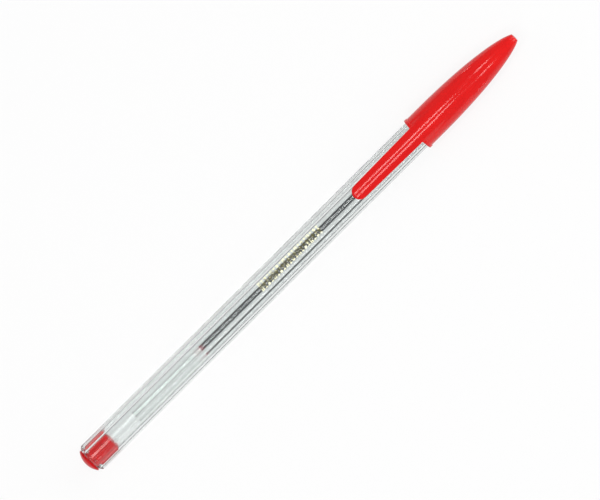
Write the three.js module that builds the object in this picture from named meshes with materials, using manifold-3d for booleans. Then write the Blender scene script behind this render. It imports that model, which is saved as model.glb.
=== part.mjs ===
// A capped stick ballpoint pen: clear hexagonal barrel, fluted end plug, ink refill with its
// plastic holder and metal point, and a moulded cap with a pocket clip.
//
// Millimetres. +X runs along the pen from the plug to the end of the cap, and +Z is up. The
// barrel lies on one of its flats. The origin is on the surface that the pen lies on, below the
// middle of the pen's length. "Station" means a distance along the pen from the plug's dome.

import * as THREE from 'three';
import { mergeVertices } from 'three/addons/utils/BufferGeometryUtils.js';
import Module from 'manifold-3d';

const wasm = await Module();
wasm.setup();

// How the pieces fit
const pressGap = 0.02;
const seatGap = 0.04;
const capGap = 0.06;
const ballGap = 0.03;

// Barrel
const barrelLength = 124.6;
const barrelFlats = 7.06;
const barrelEdgeRadius = 0.5;
const barrelWall = 0.73;
const barrelRearChamfer = 0.12;
const noseConeLength = 4.8;
const noseFaceWall = 0.18;
const ventDiameter = 1.0;
const ventFromRear = 71.8;

// End plug
const plugHeadInset = 0.25;
const plugDomeHeight = 1.1;
const plugHeadRim = 0.2;
const plugSeatLength = 0.95;
const plugSeatShows = 0.4;
const plugSeatInset = 0.2;
const plugNeckLength = 0.55;
const plugNeckDepth = 0.55;
const plugBodyLength = 6.1;
const plugRibs = 8;
const plugRibWidth = 0.95;
const plugRibDepth = 0.5;
const plugEndRound = 0.35;
const plugTurn = THREE.MathUtils.degToRad(7.7);

// Ink tube and ink
const tubeBehindPlug = 8.4;
const tubeDiameter = 3.0;
const tubeBore = 1.5;
const tubeEmptyLength = 23.3;
const inkMeniscusDepth = 0.45;

// Tip holder
const holderPlugLength = 8.0;
const holderLeadIn = 0.4;
const holderSocketDepth = 4.2;
const holderFlangeInset = 0.08;
const holderFlangeLength = 0.5;
const holderNoseLength = 11.7;
const holderNoseWall = 0.3;

// Metal point and ball
const pointSocketDepth = 6.4;
const pointDiameter = 2.3;
const pointShankLength = 3.2;
const pointConeLength = 3.1;
const pointLipWall = 0.07;
const pointFeedDiameter = 0.7;
const ballDiameter = 1.0;
const ballShows = 0.3;

// Cap
const capCover = 10.3;
const capWall = 0.41;
const capLipHeight = 0.2;
const capLipLength = 0.9;
const capLipRound = 0.15;
const ogiveStart = 4.7;
const ogiveStartPull = 16.5;
const ogiveEndPull = 3.1;
const ogiveEndSlope = THREE.MathUtils.degToRad(27.5);
const capEndFaceDiameter = 2.1;
const capEndEdgeHeight = 0.2;
const capEndEdgeLength = 0.4;
const capMouthChamfer = 0.12;
const capSeatRelief = 0.3;
const capNoseRoomDiameter = 5.6;
const capNoseRoomLength = 9.0;
const capPointRoom = 1.4;
const capEndRoomDiameter = 2.7;
const capEndWall = 4.0;
const capVentDiameter = 1.2;
const gripRibs = 6;
const gripRibWidth = 0.8;
const gripRibLength = 2.4;

// Pocket clip, a curved tongue moulded on the cap
const clipTurn = THREE.MathUtils.degToRad(7.7);
const clipReach = 21.7;
const clipRootLength = 5.0;
const clipRootSink = 0.05;
const clipGap = 0.2;
const clipThickness = 0.7;
const clipTipWidth = 3.96;
const clipRootWidth = 4.64;
const clipTipLength = 2.0;
const clipTipDrop = 0.4;
const clipCrownRise = 0.52;
const clipEdgeRadius = 0.25;
const nubFromTip = 3.0;
const nubLength = 3.6;
const nubHeight = 0.12;
const nubSoftness = 1.5;

// Swelling on top of the cap that the clip runs out of
const ridgeHeight = 0.28;
const ridgeLength = 22;
const ridgeWidth = 6.0;
const ridgeCrownRadius = 4.7;

// Fineness of the round surfaces
const roundSides = 48;
const smallSides = 32;
const ballSides = 16;
const arcSteps = 4;
const domeSteps = 6;
const ogiveSteps = 18;
const crownSteps = 8;
const ridgeSteps = 16;

// Stations, from the rear to the front
const plugRimEnd = plugDomeHeight + plugHeadRim;
const plugSeatEnd = plugRimEnd + plugSeatLength;
const plugNeckEnd = plugSeatEnd + plugNeckLength;
const plugEnd = plugNeckEnd + plugBodyLength;
const barrelStart = plugRimEnd + plugSeatShows;
const barrelEnd = barrelStart + barrelLength;
const noseStart = barrelEnd - noseConeLength;
const tubeStart = plugEnd + tubeBehindPlug;
const inkStart = tubeStart + tubeEmptyLength;
const holderStart = barrelEnd - holderPlugLength;
const holderEnd = barrelEnd + holderNoseLength;
const pointStart = holderEnd - pointSocketDepth;
const pointConeStart = holderEnd + pointShankLength;
const pointLip = pointConeStart + pointConeLength;
const ballStation = pointLip + ballShows - ballDiameter / 2;
const capMouth = barrelEnd - capCover;
const capRoomEnd = pointLip + ballShows + capPointRoom;
const capEnd = capRoomEnd + capEndWall;
const clipTip = capMouth - clipReach;

// Radii and heights about the pen's axis
const hexSide = barrelFlats / Math.sqrt(3);
const edgeCentreRadius = hexSide - barrelEdgeRadius / Math.cos(Math.PI / 6);
const barrelCornerRadius = edgeCentreRadius + barrelEdgeRadius;
const boreRadius = barrelFlats / 2 - barrelWall;
const noseFaceRadius = boreRadius + noseFaceWall;
const plugHeadRadius = barrelFlats / 2 - plugHeadInset;
const capBoreRadius = barrelCornerRadius + capGap;
const capBodyRadius = capBoreRadius + capWall;
const capLipRadius = capBodyRadius + capLipHeight;
const ridgeCrest = capBodyRadius + ridgeHeight;
const ridgeDepth = (ridgeWidth / 2) ** 2 / ridgeCrownRadius;
const clipUndersideRadius = barrelCornerRadius + clipGap;
const clipCrest = clipUndersideRadius + clipThickness;
const clipCrownReach = clipRootWidth / 2 - clipEdgeRadius;
const clipCrownRadius = (clipCrownReach ** 2 + clipCrownRise ** 2) / 2 / clipCrownRise;
const axisHeight = capLipRadius;

const overshoot = 1;
const sameSpot = 1e-5;
const roundShare = 1 - Math.SQRT1_2;

const materials = {
  barrel: new THREE.MeshStandardMaterial({
    color: 0xe4eae7, roughness: 0.06, metalness: 0, transparent: true, opacity: 0.35,
  }),
  end_plug: new THREE.MeshStandardMaterial({ color: 0xd4262b, roughness: 0.3, metalness: 0 }),
  ink_tube: new THREE.MeshStandardMaterial({
    color: 0xe9eeec, roughness: 0.15, metalness: 0, transparent: true, opacity: 0.4,
  }),
  ink_column: new THREE.MeshStandardMaterial({ color: 0x3c4144, roughness: 0.25, metalness: 0 }),
  tip_holder: new THREE.MeshStandardMaterial({ color: 0xe9e4d4, roughness: 0.35, metalness: 0 }),
  writing_point: new THREE.MeshStandardMaterial({ color: 0xc9b583, roughness: 0.28, metalness: 1 }),
  ball: new THREE.MeshStandardMaterial({ color: 0xb9bcc0, roughness: 0.15, metalness: 1 }),
  cap: new THREE.MeshStandardMaterial({ color: 0xdc2326, roughness: 0.16, metalness: 0 }),
};

// A closed geometry as a solid that can be cut and joined.
function solidOf(geometry) {
  geometry.deleteAttribute('normal');
  geometry.deleteAttribute('uv');
  const merged = mergeVertices(geometry, sameSpot);
  return new wasm.Manifold(new wasm.Mesh({
    numProp: 3,
    vertProperties: new Float32Array(merged.attributes.position.array),
    triVerts: new Uint32Array(merged.index.array),
  }));
}

// A piece's node: its solid, in the frame of the pen's axis, with its own material.
function nodeOf(name, solid) {
  const mesh = solid.getMesh();
  const geometry = new THREE.BufferGeometry();
  geometry.setAttribute('position', new THREE.BufferAttribute(mesh.vertProperties, 3));
  geometry.setIndex(new THREE.BufferAttribute(mesh.triVerts, 1));
  geometry.computeVertexNormals();
  const node = new THREE.Mesh(geometry, materials[name]);
  node.name = name;
  return node;
}

// The closed surface that a profile sweeps round the pen's axis. The profile is a list of
// [station, radius] from the rear to the front. An end that isn't on the axis closes flat.
function swept(profile, sides) {
  const points = profile.map(([station, radius]) => new THREE.Vector2(radius, station));
  if (points[0].x > sameSpot) {
    points.unshift(new THREE.Vector2(0, points[0].y));
  }
  if (points.at(-1).x > sameSpot) {
    points.push(new THREE.Vector2(0, points.at(-1).y));
  }
  return new THREE.LatheGeometry(points, sides).rotateZ(-Math.PI / 2);
}

// The solid inside a swept surface.
function revolve(profile, sides = roundSides) {
  return solidOf(swept(profile, sides));
}

// A straight round rod or bore between two stations.
function rod(from, to, diameter, sides = roundSides) {
  return revolve([[from, diameter / 2], [to, diameter / 2]], sides);
}

// Points on a round, as [station, radius], from one angle to another. An angle of 0 points
// forwards along the pen and a quarter turn points away from the axis.
function arc(station, radius, size, fromAngle, toAngle, steps = arcSteps) {
  return Array.from({ length: steps + 1 }, (_, i) => {
    const angle = fromAngle + (toAngle - fromAngle) * i / steps;
    return [station + size * Math.cos(angle), radius + size * Math.sin(angle)];
  });
}

// Thin plates through the axis that mark where ribs stand. A plate goes right through, so it
// gives two ribs that face each other.
function ribPlates(count, width, from, to, reach) {
  const plates = [];
  for (let i = 0; i < count / 2; i += 1) {
    const plate = new THREE.BoxGeometry(to - from, width, 2 * reach);
    plate.translate((from + to) / 2, 0, 0);
    plate.rotateX((i + 0.5) * 2 * Math.PI / count);
    plates.push(solidOf(plate));
  }
  return plates.reduce((all, plate) => all.add(plate));
}

// The radius of the barrel's nose cone at a station. It starts where it just takes the edges.
function noseConeRadius(station) {
  const share = (barrelEnd - station) / noseConeLength;
  return THREE.MathUtils.lerp(noseFaceRadius, barrelCornerRadius, share);
}

// The cone on which the plug's head seats in the barrel's rear end.
function plugSeatRadius(station) {
  const share = (station - plugRimEnd) / plugSeatLength;
  return THREE.MathUtils.lerp(plugHeadRadius, boreRadius - plugSeatInset, share);
}

function barrel() {
  const outline = new THREE.Shape();
  for (let corner = 0; corner < 6; corner += 1) {
    const middle = (corner + 0.5) * Math.PI / 3;
    outline.absarc(
      edgeCentreRadius * Math.cos(middle), edgeCentreRadius * Math.sin(middle), barrelEdgeRadius,
      middle - Math.PI / 6, middle + Math.PI / 6, false,
    );
  }
  const bar = new THREE.ExtrudeGeometry(outline, {
    depth: barrelLength, bevelEnabled: false, curveSegments: arcSteps,
  });
  bar.rotateY(Math.PI / 2).translate(barrelStart, 0, 0);

  const flatRadius = barrelFlats / 2;
  const noseReach = noseStart - overshoot;
  const ends = revolve([
    [barrelStart, flatRadius - barrelRearChamfer],
    [barrelStart + barrelRearChamfer + hexSide - flatRadius, hexSide],
    [noseReach, hexSide],
    [noseReach, noseConeRadius(noseReach)],
    [barrelEnd, noseFaceRadius],
  ]);

  const seatFrom = barrelStart - overshoot;
  const seatTo = barrelStart + overshoot;
  const seat = revolve([
    [seatFrom, plugSeatRadius(seatFrom) + seatGap],
    [seatTo, plugSeatRadius(seatTo) + seatGap],
  ]);
  const bore = rod(seatFrom, barrelEnd + overshoot, 2 * boreRadius);

  const vent = new THREE.CylinderGeometry(ventDiameter / 2, ventDiameter / 2, hexSide, ballSides);
  const ventTop = -boreRadius / 2;
  vent.rotateX(Math.PI / 2).translate(barrelStart + ventFromRear, 0, ventTop - hexSide / 2);

  return nodeOf('barrel', solidOf(bar)
    .intersect(ends)
    .subtract(bore)
    .subtract(seat)
    .subtract(solidOf(vent)));
}

function endPlug() {
  const domeRadius = (plugHeadRadius ** 2 + plugDomeHeight ** 2) / 2 / plugDomeHeight;
  const domeAngle = Math.asin(plugHeadRadius / domeRadius);
  const neckRadius = boreRadius - plugNeckDepth;
  const coreRadius = boreRadius - plugRibDepth;
  const core = revolve([
    ...arc(domeRadius, 0, domeRadius, Math.PI, Math.PI - domeAngle, domeSteps),
    [plugRimEnd, plugHeadRadius],
    [plugSeatEnd, plugSeatRadius(plugSeatEnd)],
    [plugSeatEnd, neckRadius],
    [plugNeckEnd, neckRadius],
    [plugNeckEnd, coreRadius],
    [plugEnd - plugEndRound, coreRadius],
    [plugEnd, coreRadius - plugEndRound],
  ]);

  const ribRadius = boreRadius - pressGap;
  const ribEnvelope = revolve([
    [plugNeckEnd, ribRadius - plugEndRound / 2],
    [plugNeckEnd + plugEndRound / 2, ribRadius],
    ...arc(plugEnd - plugEndRound, ribRadius - plugEndRound, plugEndRound, Math.PI / 2, 0),
  ]);
  const plates = ribPlates(plugRibs, plugRibWidth, plugNeckEnd, plugEnd, barrelFlats);
  const plug = nodeOf('end_plug', core.add(ribEnvelope.intersect(plates)));
  plug.rotation.x = plugTurn;
  return plug;
}

function inkTube() {
  const end = holderStart + holderSocketDepth - pressGap;
  const tube = rod(tubeStart, end, tubeDiameter, smallSides);
  const bore = rod(tubeStart - overshoot, end + overshoot, tubeBore, smallSides);
  return nodeOf('ink_tube', tube.subtract(bore));
}

function inkColumn() {
  const radius = tubeBore / 2 - pressGap;
  const feedRadius = pointFeedDiameter / 2 - pressGap;
  const meniscusRadius = (radius ** 2 + inkMeniscusDepth ** 2) / 2 / inkMeniscusDepth;
  const meniscusAngle = Math.asin(radius / meniscusRadius);
  const meniscusCentre = inkStart + inkMeniscusDepth - meniscusRadius;
  return nodeOf('ink_column', revolve([
    ...arc(meniscusCentre, 0, meniscusRadius, 0, meniscusAngle),
    [pointStart - pressGap, radius],
    [pointStart - pressGap, feedRadius],
    [ballStation - ballDiameter / 2 - 2 * ballGap, feedRadius],
  ], smallSides));
}

function tipHolder() {
  const plugRadius = boreRadius - pressGap;
  const flangeRadius = noseFaceRadius - holderFlangeInset;
  const flangeStart = barrelEnd + pressGap;
  const body = revolve([
    [holderStart, plugRadius - holderLeadIn / 2],
    [holderStart + holderLeadIn, plugRadius],
    [flangeStart, plugRadius],
    [flangeStart, flangeRadius],
    [flangeStart + holderFlangeLength, flangeRadius],
    [holderEnd, pointDiameter / 2 + holderNoseWall],
  ]);
  const tubeSocket = rod(
    holderStart - overshoot, holderStart + holderSocketDepth, tubeDiameter + 2 * pressGap, smallSides,
  );
  const channel = rod(holderStart, holderEnd, tubeBore, smallSides);
  const pointSocket = rod(
    pointStart, holderEnd + overshoot, pointDiameter + 2 * pressGap, smallSides,
  );
  return nodeOf('tip_holder', body.subtract(tubeSocket).subtract(channel).subtract(pointSocket));
}

function writingPoint() {
  const seatRadius = ballDiameter / 2 + ballGap;
  const lipAngle = Math.acos((pointLip - ballStation) / seatRadius);
  const lipRadius = seatRadius * Math.sin(lipAngle);
  const body = revolve([
    [pointStart, pointDiameter / 2],
    [pointConeStart, pointDiameter / 2],
    [pointLip, lipRadius + pointLipWall],
  ], smallSides);
  const seat = revolve([
    ...arc(ballStation, 0, seatRadius, Math.PI, lipAngle, 2 * domeSteps),
    [pointLip + overshoot, lipRadius],
  ], smallSides);
  const feed = rod(pointStart - overshoot, ballStation, pointFeedDiameter, smallSides);
  return nodeOf('writing_point', body.subtract(feed).subtract(seat));
}

function ball() {
  const sphere = new THREE.SphereGeometry(ballDiameter / 2, ballSides, ballSides / 2);
  sphere.rotateZ(-Math.PI / 2).translate(ballStation, 0, 0);
  return nodeOf('ball', solidOf(sphere));
}

// The cap's outer profile, from its mouth to its flat end.
function capProfile() {
  const round = Math.min(capLipRound, capLipHeight);
  const roundRadius = capLipRadius - round;
  const lipEnd = capMouth + capLipLength;
  const start = new THREE.Vector2(capMouth + ogiveStart, capBodyRadius);
  const end = new THREE.Vector2(
    capEnd - capEndEdgeLength, capEndFaceDiameter / 2 + capEndEdgeHeight,
  );
  const startPull = new THREE.Vector2(start.x + ogiveStartPull, start.y);
  const endPull = new THREE.Vector2(
    end.x - ogiveEndPull * Math.cos(ogiveEndSlope),
    end.y + ogiveEndPull * Math.sin(ogiveEndSlope),
  );
  const ogive = new THREE.CubicBezierCurve(start, startPull, endPull, end);
  return [
    ...arc(capMouth + round, roundRadius, round, Math.PI, Math.PI / 2, arcSteps / 2),
    ...arc(lipEnd - round, roundRadius, round, Math.PI / 2, 0, arcSteps / 2),
    [lipEnd, capBodyRadius],
    ...ogive.getPoints(ogiveSteps).map((point) => [point.x, point.y]),
    [capEnd, capEndFaceDiameter / 2],
  ];
}

// How far a station lies into the clip's round tip: 1 at its very end and 0 past the round.
function tipShare(station) {
  return Math.max(0, (clipTip + clipTipLength - station) / clipTipLength);
}

// The height of the clip's crest above the axis: it dips at the round tip, is level along the
// clip, and past the cap's mouth eases down into the swelling.
function crestHeight(station) {
  const dip = clipTipDrop * (1 - Math.sqrt(1 - tipShare(station) ** 2));
  const root = THREE.MathUtils.smoothstep(station, capMouth, capMouth + clipRootLength);
  const low = ridgeHeightAt(capMouth + clipRootLength) - clipRootSink;
  return THREE.MathUtils.lerp(clipCrest - dip, low, root);
}

// Half of the clip's width: round at the tip and widening to the cap's mouth.
function clipHalfWidth(station) {
  const along = Math.min(1, (station - clipTip) / clipReach);
  const straight = THREE.MathUtils.lerp(clipTipWidth, clipRootWidth, along) / 2;
  return straight * Math.sqrt(1 - tipShare(station) ** 2);
}

// The radius of the clip's hollow underside: it follows the barrel's round, with a nub near the
// tip that stops just clear of the barrel's edges.
function undersideRadius(station) {
  const share = Math.min(1, Math.abs(station - clipTip - nubFromTip) / (nubLength / 2));
  return clipUndersideRadius - nubHeight * (1 - share ** 2) ** nubSoftness;
}

// The right half of a section across the clip, as points [across, height], from the middle of
// the crown round the edge to the middle of the underside. The rounds on its edges are limited
// by the clip's width and thickness.
function clipHalfSection(station) {
  const half = clipHalfWidth(station);
  const crest = crestHeight(station);
  const crown = (across) => crest - clipCrownRadius + Math.sqrt(clipCrownRadius ** 2 - across ** 2);
  const under = (across) => Math.sqrt(undersideRadius(station) ** 2 - across ** 2);
  const edge = Math.min(clipEdgeRadius, half / 3, clipThickness / 3);
  const shoulder = half - edge;
  const points = [];
  for (let i = 0; i <= crownSteps; i += 1) {
    const across = shoulder * i / crownSteps;
    points.push([across, crown(across)]);
  }
  points.push([half - edge * roundShare, crown(shoulder) - edge * roundShare]);
  points.push([half, crown(shoulder) - edge]);
  points.push([half, under(shoulder) + edge / 2]);
  for (let i = crownSteps; i >= 0; i -= 1) {
    const across = shoulder * i / crownSteps;
    points.push([across, under(across)]);
  }
  return points;
}

// The clip, lofted through sections from its tip to where it ends inside the swelling.
function clipLoft() {
  const nubEnd = clipTip + nubFromTip + nubLength / 2;
  const stations = [];
  for (let i = 1; i <= domeSteps; i += 1) {
    stations.push(clipTip + clipTipLength * (1 - Math.cos(i / domeSteps * Math.PI / 2)));
  }
  for (let i = 1; i <= crownSteps; i += 1) {
    stations.push(THREE.MathUtils.lerp(clipTip + clipTipLength, nubEnd, i / crownSteps));
  }
  for (let i = 0; i <= domeSteps; i += 1) {
    stations.push(capMouth + clipRootLength * i / domeSteps);
  }
  const sections = stations.map((station) => {
    const right = clipHalfSection(station);
    const left = right.slice(1, -1).reverse().map(([across, height]) => [-across, height]);
    return [...right, ...left];
  });
  const count = sections[0].length;
  const positions = [];
  sections.forEach((section, i) => {
    section.forEach(([across, height]) => positions.push(stations[i], across, height));
  });
  const index = [];
  for (let ring = 0; ring < sections.length - 1; ring += 1) {
    for (let k = 0; k < count; k += 1) {
      const a = ring * count + k;
      const b = ring * count + (k + 1) % count;
      index.push(a, a + count, b, b, a + count, b + count);
    }
  }
  // Both ends are closed by strips between crown and underside, from the middle to the edges.
  const last = (sections.length - 1) * count;
  const closeEnds = (corners) => {
    const [first, ...others] = new Set(corners);
    for (let i = 1; i < others.length; i += 1) {
      index.push(first, others[i - 1], others[i]);
      index.push(last + first, last + others[i], last + others[i - 1]);
    }
  };
  const middle = count / 2;
  for (let k = 0; k < middle / 2; k += 1) {
    closeEnds([k, k + 1, middle - k - 1, middle - k]);
    closeEnds([count - k - 1, (count - k) % count, middle + k, middle + k + 1]);
  }
  const geometry = new THREE.BufferGeometry();
  geometry.setAttribute('position', new THREE.Float32BufferAttribute(positions, 3));
  geometry.setIndex(index);
  return solidOf(geometry);
}

// The swelling's crest above the axis at a station: the top of a long half ellipse.
function ridgeHeightAt(station) {
  const share = Math.min(1, Math.abs(station - capMouth) / ridgeLength);
  return ridgeCrest - ridgeDepth * (1 - Math.sqrt(1 - share ** 2));
}

// The swelling on top of the cap, from inside the lip forwards. Its top is part of an ellipsoid
// and its lower part lies inside the cap's wall and room.
function ridge() {
  const from = (capLipLength / 2) / ridgeLength;
  const profile = [];
  for (let i = 0; i <= ridgeSteps; i += 1) {
    const angle = THREE.MathUtils.lerp(Math.acos(from), 0, i / ridgeSteps);
    profile.push([capMouth + ridgeLength * Math.cos(angle), Math.sin(angle)]);
  }
  const bar = swept(profile, roundSides).scale(1, ridgeWidth / 2, ridgeDepth);
  return solidOf(bar.translate(0, 0, ridgeCrest - ridgeDepth));
}

// The room inside the cap: mouth, bore over the barrel, relief round the barrel's nose cone,
// room for the holder and the point, and the vent through the flat end.
function capRoom() {
  const room = revolve([
    [capMouth - overshoot, capBoreRadius + capMouthChamfer],
    [capMouth, capBoreRadius + capMouthChamfer],
    [capMouth + capMouthChamfer, capBoreRadius],
    [noseStart + capSeatRelief, capBoreRadius],
    [barrelEnd + capSeatRelief, noseFaceRadius + capSeatRelief],
    [barrelEnd + capNoseRoomLength, capNoseRoomDiameter / 2],
    [capRoomEnd, capEndRoomDiameter / 2],
  ]);
  const vent = rod(capRoomEnd - overshoot, capEnd + overshoot, capVentDiameter);
  return room.add(vent);
}

// Short ribs inside the cap that grip the round end of the barrel's nose.
function gripRibRing() {
  const from = barrelEnd - gripRibLength;
  const to = barrelEnd + capSeatRelief;
  const ring = rod(from, to, 2 * capBoreRadius);
  const nose = revolve([
    [from - overshoot, noseConeRadius(from - overshoot) + capGap],
    [to + overshoot, noseConeRadius(to + overshoot) + capGap],
  ]);
  return ring.subtract(nose).intersect(ribPlates(gripRibs, gripRibWidth, from, to, capBoreRadius));
}

function cap() {
  const shell = revolve(capProfile()).add(ridge()).add(clipLoft()).subtract(capRoom());
  const node = nodeOf('cap', shell.add(gripRibRing()));
  node.rotation.x = clipTurn;
  return node;
}

const pen = new THREE.Group();
pen.position.set(-capEnd / 2, 0, axisHeight);
pen.add(barrel(), endPlug(), inkTube(), inkColumn(), tipHolder(), writingPoint(), ball(), cap());

const assembly = new THREE.Group();
assembly.add(pen);

export default assembly;
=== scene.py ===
"""The looks of a capped stick ballpoint pen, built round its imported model.

Sizes are in metres, most of them written in millimetres times MM. +X runs along the pen from the
end plug to the end of the cap, and +Z is up. Profiles are lists of (x, radius) about the pen's
axis, and heights in the cap's sections are measured from that axis.
"""

import logging
import math
from collections.abc import Callable, Iterator, Sequence
from contextlib import contextmanager
from dataclasses import dataclass, replace
from enum import Enum

import bmesh
import bpy
from mathutils import Matrix, Vector


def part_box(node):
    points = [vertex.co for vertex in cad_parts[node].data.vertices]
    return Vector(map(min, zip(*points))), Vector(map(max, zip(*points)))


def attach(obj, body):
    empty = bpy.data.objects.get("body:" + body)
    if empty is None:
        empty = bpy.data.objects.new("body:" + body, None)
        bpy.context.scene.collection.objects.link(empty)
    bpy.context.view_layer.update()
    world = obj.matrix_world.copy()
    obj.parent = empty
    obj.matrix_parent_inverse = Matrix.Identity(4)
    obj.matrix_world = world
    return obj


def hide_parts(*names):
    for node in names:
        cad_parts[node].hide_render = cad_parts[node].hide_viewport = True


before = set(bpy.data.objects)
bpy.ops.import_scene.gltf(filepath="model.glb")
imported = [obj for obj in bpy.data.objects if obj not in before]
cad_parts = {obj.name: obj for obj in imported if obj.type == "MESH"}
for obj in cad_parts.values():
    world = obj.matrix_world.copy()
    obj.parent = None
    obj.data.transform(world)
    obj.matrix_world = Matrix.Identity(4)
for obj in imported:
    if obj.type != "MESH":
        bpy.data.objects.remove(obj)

MM = 0.001
ROUND_SIDES = 96
SMALL_ROUND_SIDES = 64
OVERSHOOT = 1.0 * MM
FINE_MERGE = 0.0002 * MM
COARSE_MERGE = 0.001 * MM
BOOLEAN_TRIES = 6

Point = tuple[float, float]
Profile = list[Point]
Colour = tuple[float, float, float]
PerMillimetre = tuple[float, float, float]

PEN_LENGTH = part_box("cap")[1].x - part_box("end_plug")[0].x
PEN_MIDDLE = (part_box("cap")[1].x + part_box("end_plug")[0].x) / 2
AXIS_Z = (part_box("ball")[0].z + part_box("ball")[1].z) / 2
AXIS = Vector((PEN_MIDDLE, 0.0, AXIS_Z))

log = logging.getLogger("pen")


class Body(Enum):
    """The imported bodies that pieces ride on."""

    PEN = "pen_body"
    BALL = "ball"
    CAP = "cap"


class Slot(Enum):
    """The record's material slots."""

    BARREL = "clear_barrel"
    PLUG = "red_plug"
    TUBE = "clear_tube"
    INK = "ink"
    HOLDER = "holder_plastic"
    POINT = "point_metal"
    BALL = "ball_metal"
    CAP = "red_cap"


class Join(Enum):
    """How a second solid is used on a piece."""

    ADD = "UNION"
    CUT = "DIFFERENCE"
    KEEP = "INTERSECT"


# Modelling


def deselect_all() -> None:
    """Leave object mode current, with nothing selected."""
    active = bpy.context.view_layer.objects.active
    if active and active.mode != "OBJECT":
        bpy.ops.object.mode_set(mode="OBJECT")
    bpy.ops.object.select_all(action="DESELECT")


def select_only(*pieces: bpy.types.Object) -> None:
    """Select some pieces and nothing else, with the first one active.

    Args:
        pieces: the pieces to select.
    """
    deselect_all()
    for piece in pieces:
        piece.select_set(True)
    bpy.context.view_layer.objects.active = pieces[0]


@contextmanager
def editing(piece: bpy.types.Object) -> Iterator[None]:
    """Edit mode on one piece, with vertices selectable, for as long as the block runs.

    Args:
        piece: the piece to edit.
    """
    select_only(piece)
    bpy.ops.object.mode_set(mode="EDIT")
    bpy.ops.mesh.select_mode(type="VERT")
    try:
        yield
    finally:
        bpy.ops.object.mode_set(mode="OBJECT")


def pick_edges(piece: bpy.types.Object, test: Callable[[Vector, Vector], bool]) -> None:
    """Select, in edit mode, the edges that pass a test.

    Args:
        piece: the piece, which is in edit mode.
        test: says whether an edge between two places passes.
    """
    bpy.ops.mesh.select_mode(type="EDGE")
    bpy.ops.mesh.select_all(action="DESELECT")
    mesh = bmesh.from_edit_mesh(piece.data)
    for edge in mesh.edges:
        if test(*(corner.co for corner in edge.verts)):
            edge.select_set(True)
    bmesh.update_edit_mesh(piece.data)


def finish_primitive(name: str) -> bpy.types.Object:
    """Name the primitive that was just added and move its place into its mesh.

    Args:
        name: the piece's name.

    Returns:
        The piece, with its object at the origin.
    """
    piece = bpy.context.object
    piece.name = name
    piece.data.name = name
    bpy.ops.object.transform_apply(location=True, rotation=True, scale=True)
    return piece


def apply_modifier(piece: bpy.types.Object, kind: str, **settings: object) -> None:
    """Add a modifier to a piece, set it and apply it.

    Args:
        piece: the piece.
        kind: the modifier's type.
        settings: the modifier's settings by name.
    """
    select_only(piece)
    modifier = piece.modifiers.new(kind.title(), kind)
    for name, value in settings.items():
        setattr(modifier, name, value)
    bpy.ops.object.modifier_apply(modifier=modifier.name)


def combine(
    piece: bpy.types.Object, join: Join, tool: bpy.types.Object, thorough: bool = False,
) -> None:
    """Join or cut a piece with another solid, which is used up.

    On a rare run the exact solver loses faces, so it is tried until two results are alike.

    Args:
        piece: the piece that is changed.
        join: how the second solid is used.
        tool: the second solid.
        thorough: whether faces of the same solid may cross, which takes longer.
    """
    original, name = piece.data, piece.data.name
    face_counts: list[int] = []
    for _ in range(BOOLEAN_TRIES):
        piece.data = original.copy()
        apply_modifier(
            piece, "BOOLEAN", operation=join.value, object=tool, solver="EXACT", use_self=thorough,
        )
        face_counts.append(len(piece.data.polygons))
        if face_counts[-1] in face_counts[:-1]:
            break
    if len(face_counts) > 2:
        log.warning("%s: tries at %s gave %s faces", piece.name, tool.name, face_counts)
    bpy.data.meshes.remove(original)
    piece.data.name = name
    bpy.data.objects.remove(tool, do_unlink=True)


def clean_mesh(piece: bpy.types.Object, distance: float = FINE_MERGE) -> None:
    """Merge doubled vertices and turn all faces outwards.

    Args:
        piece: the piece.
        distance: how close two vertices are merged.
    """
    with editing(piece):
        bpy.ops.mesh.select_all(action="SELECT")
        bpy.ops.mesh.remove_doubles(threshold=distance)
        bpy.ops.mesh.normals_make_consistent(inside=False)


def smooth(piece: bpy.types.Object, angle: float = 35.0) -> None:
    """Shade a piece smooth, apart from edges sharper than an angle.

    Args:
        piece: the piece.
        angle: the sharpest edge that stays smooth, in degrees.
    """
    select_only(piece)
    bpy.ops.object.shade_smooth_by_angle(angle=math.radians(angle))


def turn_about_axis(piece: bpy.types.Object, angle: float) -> None:
    """Turn a piece about the pen's axis, in its mesh.

    Args:
        piece: the piece, with its object at the origin.
        angle: the turn in radians, from +Y towards +Z.
    """
    turn = Matrix.Rotation(angle, 4, "X")
    piece.matrix_world = Matrix.Translation(AXIS) @ turn @ Matrix.Translation(-AXIS)
    select_only(piece)
    bpy.ops.object.transform_apply(location=True, rotation=True, scale=True)


def copy_of(piece: bpy.types.Object) -> bpy.types.Object:
    """A copy of a piece, with its own mesh."""
    copy = piece.copy()
    copy.data = piece.data.copy()
    bpy.context.collection.objects.link(copy)
    return copy


def join_all(pieces: Sequence[bpy.types.Object]) -> bpy.types.Object:
    """Join pieces into the first of them."""
    select_only(*pieces)
    bpy.ops.object.join()
    return bpy.context.object


def ring_of(piece: bpy.types.Object, count: int, turn: float = 0.0) -> bpy.types.Object:
    """Copy a piece from the top of the pen round its axis.

    Args:
        piece: the piece, with its object at the origin.
        count: how many there are in the ring. The ring's first gap is on top.
        turn: how far the ring is turned from there, in radians.

    Returns:
        The ring as one piece.
    """
    members = [piece, *(copy_of(piece) for _ in range(1, count))]
    for i, member in enumerate(members):
        turn_about_axis(member, (i + 0.5) * math.tau / count + turn)
    return join_all(members)


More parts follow.
